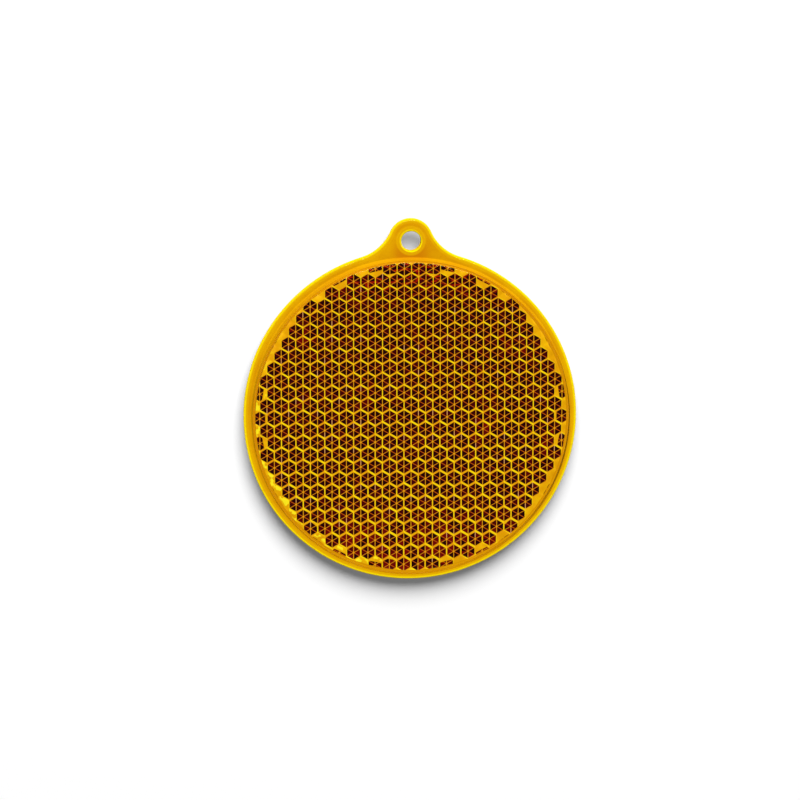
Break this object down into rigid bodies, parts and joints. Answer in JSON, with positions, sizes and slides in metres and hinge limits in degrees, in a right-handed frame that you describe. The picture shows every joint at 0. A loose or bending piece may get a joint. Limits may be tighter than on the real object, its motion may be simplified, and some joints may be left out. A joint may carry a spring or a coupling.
{
  "type": "round safety reflector",
  "caption": "Flat round amber reflector with cube-corner prisms inside both faces, a thin welded flange and a small eye with a hole to hang it from a cord.",
  "frame": {"origin": "middle of the rear face, which is the face it rests on when it lies flat", "axes": "+Z out of the front face, +Y from the middle of the disc to the hanging eye"},
  "size_m": [0.058, 0.0634, 0.007],
  "materials": {
    "front_plastic": "clear amber, glossy outside, mirror-polished prisms inside",
    "rear_plastic": "clear amber, glossy outside, mirror-polished prisms inside"
  },
  "bodies": {
    "root": {"front_shell": "front_plastic", "rear_shell": "rear_plastic"}
  },
  "joints": []
}
